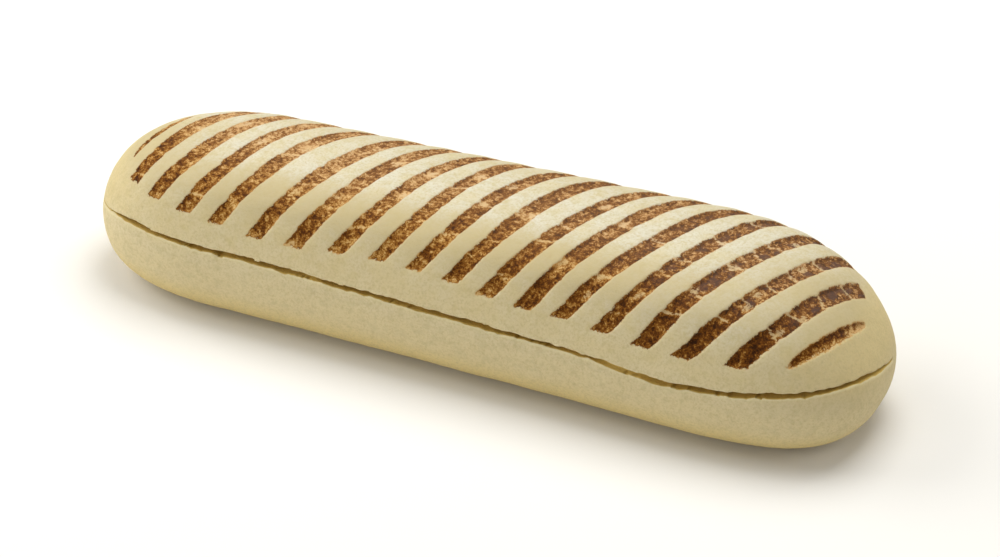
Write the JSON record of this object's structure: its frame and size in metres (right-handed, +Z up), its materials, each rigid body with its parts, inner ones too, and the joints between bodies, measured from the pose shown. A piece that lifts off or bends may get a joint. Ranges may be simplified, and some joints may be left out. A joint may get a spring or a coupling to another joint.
{
  "type": "panini baguette",
  "caption": "Long pale soft-baked baguette with rounded ends, pressed diagonal grill marks across its crown, a hinge cut along one side and a flat underside.",
  "frame": {"origin": "middle of the bounding box at the flat underside", "axes": "+X along the loaf towards its fuller end, +Y away from the hinge cut, +Z up through the crown"},
  "size_m": [0.2698, 0.08, 0.0501],
  "materials": {
    "crust": "matt soft-baked crust, pale cream, with dark brown grill marks"
  },
  "bodies": {
    "root": {"loaf": "crust"}
  },
  "joints": []
}
